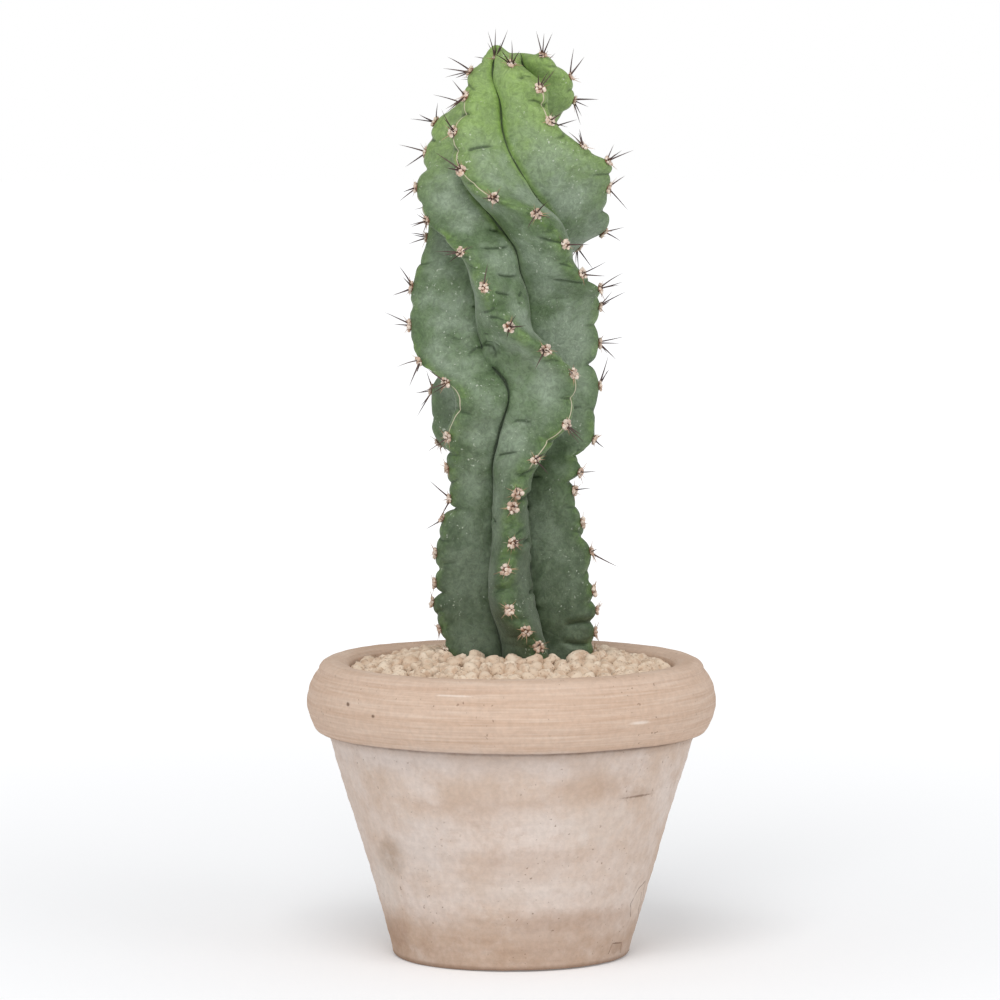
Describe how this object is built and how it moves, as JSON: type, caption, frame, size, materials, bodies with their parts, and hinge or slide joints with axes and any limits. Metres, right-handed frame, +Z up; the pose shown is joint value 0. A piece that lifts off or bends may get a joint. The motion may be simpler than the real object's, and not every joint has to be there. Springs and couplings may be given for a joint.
{
  "type": "potted tall cactus",
  "caption": "Tall ribbed columnar cactus with a slight twist, standing in a round terracotta pot with a rolled rim, filled with soil and topped with loose pumice.",
  "frame": {"origin": "centre of the pot's foot, on the surface the pot stands on", "axes": "+Z up along the pot's axis towards the cactus's tip; -Y is the front side of the cactus"},
  "size_m": [0.2, 0.2, 0.4435],
  "materials": {
    "terracotta": "unglazed fired clay, pale pinkish beige with whitish lime bloom",
    "soil": "dark, dry, gritty potting mix",
    "pumice": "dry, matt, porous beige stone",
    "cactus_skin": "waxy green skin with a pale bloom, satin"
  },
  "bodies": {
    "root": {"pot": "terracotta", "soil": "soil", "gravel_bed": "pumice", "stem": "cactus_skin", "pumice_01": "pumice", "pumice_02": "pumice", "pumice_03": "pumice", "pumice_04": "pumice", "pumice_05": "pumice", "pumice_06": "pumice", "pumice_07": "pumice", "pumice_08": "pumice", "pumice_09": "pumice", "pumice_10": "pumice", "pumice_11": "pumice", "pumice_12": "pumice", "pumice_13": "pumice", "pumice_14": "pumice", "pumice_15": "pumice", "pumice_16": "pumice", "pumice_17": "pumice", "pumice_18": "pumice", "pumice_19": "pumice", "pumice_20": "pumice", "pumice_21": "pumice", "pumice_22": "pumice", "pumice_23": "pumice", "pumice_24": "pumice", "pumice_25": "pumice", "pumice_26": "pumice", "pumice_27": "pumice", "pumice_28": "pumice", "pumice_29": "pumice", "pumice_30": "pumice", "pumice_31": "pumice", "pumice_32": "pumice", "pumice_33": "pumice", "pumice_34": "pumice", "pumice_35": "pumice", "pumice_36": "pumice"}
  },
  "joints": []
}
